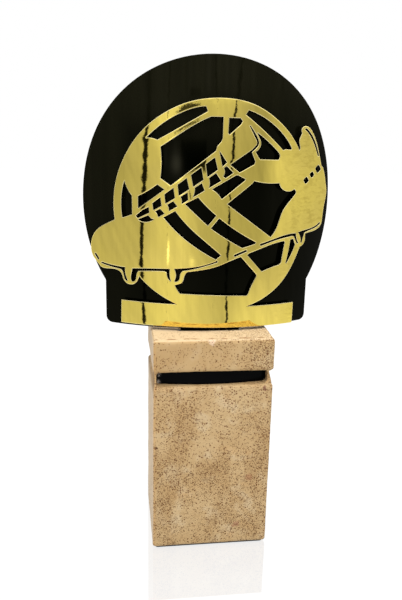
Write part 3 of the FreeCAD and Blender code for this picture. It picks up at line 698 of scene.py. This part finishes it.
def tent_glow(angle, height):
    """The tent's glow, with its folds, seams, dark shapes and bright chinks."""
    column = [(row_height, between(stops, angle)) for row_height, stops in TENT_ROWS]
    glow = between(column, height)
    for depth, turning, slant, climb, layer in FOLDS:
        spot = Vector((angle * turning + height * slant, height * climb, layer))
        glow *= 1 + depth * noise.noise(spot)
    hung = clamped((height - HUNG_FROM) / HUNG_OVER)
    glow *= 1 + HUNG_DEPTH * hung * noise.noise(Vector((angle * 0.33, height * 3, 4)))
    for ragged, course in SEAMS:
        glow *= seam_shade(angle, height, ragged, course)
    for left, right, bottom, top, level in DARK_SHAPES:
        glow *= 1 - (1 - level) * shape_shade(angle, height, left, right, bottom, top)
    for start, end, half in DARK_SLIVERS:
        glow *= 1 - SLIVER_TAKES * sliver_shade(angle, height, start, end, half)
    for middle, level, wide, tall, added in CHINKS:
        away = ((angle - middle) / wide)**2 + ((height - level) / tall)**2
        glow += added * math.exp(-1.5 * away)
    return glow


def rim_glow(angle, height):
    """The bright panels overhead and far round, which only the sheets' edges mirror."""
    overhead = (height - PANEL_HEIGHT) / PANEL_RISE
    round_left = (PANEL_LEFT - angle) / PANEL_TURN
    round_right = (angle - PANEL_RIGHT) / PANEL_TURN
    return PANEL_GLOW * clamped(max(overhead, round_left, round_right))


def tent_mesh():
    """The curved screen, with the glow kept at each of its points."""
    points = []
    glows = []
    for row in range(TENT_STEPS + 1):
        above = row - TENT_DENSE_STEPS
        if above < 0:
            height = TENT_DENSE * row / TENT_DENSE_STEPS
        else:
            height = TENT_DENSE + (TENT_TOP - TENT_DENSE) * above / (TENT_STEPS - TENT_DENSE_STEPS)
        for column in range(TENT_COLUMNS + 1):
            angle = -TENT_SWEEP + 2 * TENT_SWEEP * column / TENT_COLUMNS
            turn = math.radians(angle)
            points.append((TENT_RADIUS * math.sin(turn), -TENT_RADIUS * math.cos(turn), height))
            glows.append(max(tent_glow(angle, height), rim_glow(angle, height)))
    faces = []
    for row in range(TENT_STEPS):
        for column in range(TENT_COLUMNS):
            first = row * (TENT_COLUMNS + 1) + column
            over = first + TENT_COLUMNS + 1
            faces.append((first, first + 1, over + 1, over))
    mesh = bpy.data.meshes.new("light_tent")
    mesh.from_pydata(points, [], faces)
    layer = mesh.attributes.new("glow", "FLOAT", "POINT")
    layer.data.foreach_set("value", glows)
    return mesh


def tent_material():
    """Cloth that gives off the glow kept in the mesh."""
    material = bpy.data.materials.new("tent_cloth")
    material.use_nodes = True
    tree = material.node_tree
    tree.nodes.clear()
    reading = tree.nodes.new("ShaderNodeAttribute")
    reading.attribute_name = "glow"
    emission = tree.nodes.new("ShaderNodeEmission")
    output = tree.nodes.new("ShaderNodeOutputMaterial")
    tree.links.new(reading.outputs["Fac"], emission.inputs["Strength"])
    tree.links.new(emission.outputs[0], output.inputs["Surface"])
    return material


def light_tent():
    """A curved screen that only reflections see."""
    mesh = tent_mesh()
    mesh.materials.append(tent_material())
    tent = add_object("light_tent", mesh)
    tent.visible_camera = False
    tent.visible_diffuse = False
    tent.visible_transmission = False
    tent.visible_shadow = False


# The floor's half size and glow. It mirrors only in a patch about the foot, with a front edge, a
# reach to the sides and behind, and a share that grows towards the foot.
FLOOR_HALF = 4.0
FLOOR_GLOW = 1.08
GLOSS_FRONT = (-0.0830, -0.0820)
GLOSS_REACH = (0.055, 0.050)
GLOSS_SHIFT = 0.02
GLOSS_GROWTH = (-0.082, -0.035, 0.21, 0.25)


def floor_material():
    """White that lights itself, mirroring a little near the trophy's foot."""
    g = Graph("white_floor")
    place = g.axes()
    behind = g.math("SUBTRACT", place["Y"], GLOSS_SHIFT)
    aside = g.math("MAXIMUM", g.math("ABSOLUTE", place["X"]), behind)
    share = g.times(g.span(place["Y"], *GLOSS_FRONT), g.span(aside, *GLOSS_REACH))
    share = g.times(share, g.span(place["Y"], *GLOSS_GROWTH))
    lit = g.node("ShaderNodeEmission")
    lit.inputs["Color"].default_value = WHITE
    lit.inputs["Strength"].default_value = FLOOR_GLOW
    gloss = g.node("ShaderNodeBsdfGlossy")
    gloss.inputs["Roughness"].default_value = 0.015
    blend = g.node("ShaderNodeMixShader")
    g.feed(blend.inputs[0], share)
    g.tree.links.new(lit.outputs[0], blend.inputs[1])
    g.tree.links.new(gloss.outputs[0], blend.inputs[2])
    g.tree.links.new(blend.outputs[0], g.tree.nodes["Material Output"].inputs["Surface"])
    return g.material


def floor():
    """A white, evenly lit floor at the foot's height."""
    mesh = bpy.data.meshes.new("floor")
    corners = [(-1, -1), (1, -1), (1, 1), (-1, 1)]
    mesh.from_pydata([(x * FLOOR_HALF, y * FLOOR_HALF, 0) for x, y in corners], [], [(0, 1, 2, 3)])
    mesh.materials.append(floor_material())
    ground = add_object("floor", mesh)
    ground.location.z = cad_low.z


MATT_LIGHT = 0.7


def surroundings():
    """White all round, dimmer where it lights matt surfaces."""
    world = bpy.data.worlds.new("white_studio")
    world.use_nodes = True
    tree = world.node_tree
    back = tree.nodes["Background"]
    back.inputs["Color"].default_value = WHITE
    path = tree.nodes.new("ShaderNodeLightPath")
    level = tree.nodes.new("ShaderNodeMapRange")
    level.inputs["To Min"].default_value = 1.0
    level.inputs["To Max"].default_value = MATT_LIGHT
    tree.links.new(path.outputs["Is Diffuse Ray"], level.inputs["Value"])
    tree.links.new(level.outputs["Result"], back.inputs["Strength"])
    bpy.context.scene.world = world


# Each softbox's name, place, target, width, height and power.
SOFTBOXES = [
    ("top_light", (0.0, -0.2, 0.85), (0, 0, 0.15), 0.8, 0.8, 9.0),
    ("front_light", (-0.45, -0.9, 0.45), (0, 0, 0.12), 0.7, 0.7, 1.6),
]


def softbox(name, place, target, width, height, power):
    """A flat light aimed at a point, unseen in the mirrors."""
    light = bpy.data.lights.new(name, "AREA")
    light.shape = "RECTANGLE"
    light.size = width
    light.size_y = height
    light.energy = power
    holder = add_object(name, light)
    holder.location = place
    holder.rotation_mode = "QUATERNION"
    holder.rotation_quaternion = (Vector(target) - Vector(place)).to_track_quat("-Z", "Y")
    holder.visible_glossy = False


# The camera as fitted to the photograph: radians, metres, and a lens for a 36 mm sensor.
CAMERA_YAW = 0.134807
CAMERA_PITCH = 0.262288
CAMERA_ROLL = -0.021792
CAMERA_PLACE = (-61.42 * MM, -413.23 * MM, 281.94 * MM)
CAMERA_LENS = 38.012
CAMERA_SENSOR = 36.0


def camera():
    """The photograph's camera: turned right by its yaw, down by its pitch, then rolled."""
    forward = Vector((math.sin(CAMERA_YAW) * math.cos(CAMERA_PITCH),
                      math.cos(CAMERA_YAW) * math.cos(CAMERA_PITCH), -math.sin(CAMERA_PITCH)))
    level = Vector((math.cos(CAMERA_YAW), -math.sin(CAMERA_YAW), 0))
    down = forward.cross(level)
    right = math.cos(CAMERA_ROLL) * level + math.sin(CAMERA_ROLL) * down
    up = math.sin(CAMERA_ROLL) * level - math.cos(CAMERA_ROLL) * down
    data = bpy.data.cameras.new("camera")
    data.lens = CAMERA_LENS
    data.sensor_width = CAMERA_SENSOR
    data.clip_start = 0.01
    data.clip_end = 50.0
    holder = add_object("camera", data)
    turn = Matrix((right, up, -forward)).transposed().to_4x4()
    holder.matrix_world = Matrix.Translation(CAMERA_PLACE) @ turn
    bpy.context.scene.camera = holder


# ------------------------------------------------------------------------------ the scene

def build():
    """Every visible piece, then the studio and the camera."""
    gold = rolled_piece("gold_figure", "gold_sheet", GOLD_RADIUS, GOLD_THICKNESS,
                        gold_material(), gold_edge_material())
    plate = rolled_piece("back_plate", "black_sheet", PLATE_RADIUS, PLATE_THICKNESS,
                         black_material(), black_edge_material())
    cast_column(stone_material())
    finish_node("inlay_bar", bar_material())
    finish_node("foot_pad", felt_material())
    finish_node("mounting_pads", foam_material())
    finish_node("slot_adhesive", resin_material())
    finish_node("bar_tape", tape_material())
    surroundings()
    floor()
    light_tent()
    for box in SOFTBOXES:
        softbox(*box)
    camera()
    bpy.context.scene.view_settings.view_transform = "Standard"


build()
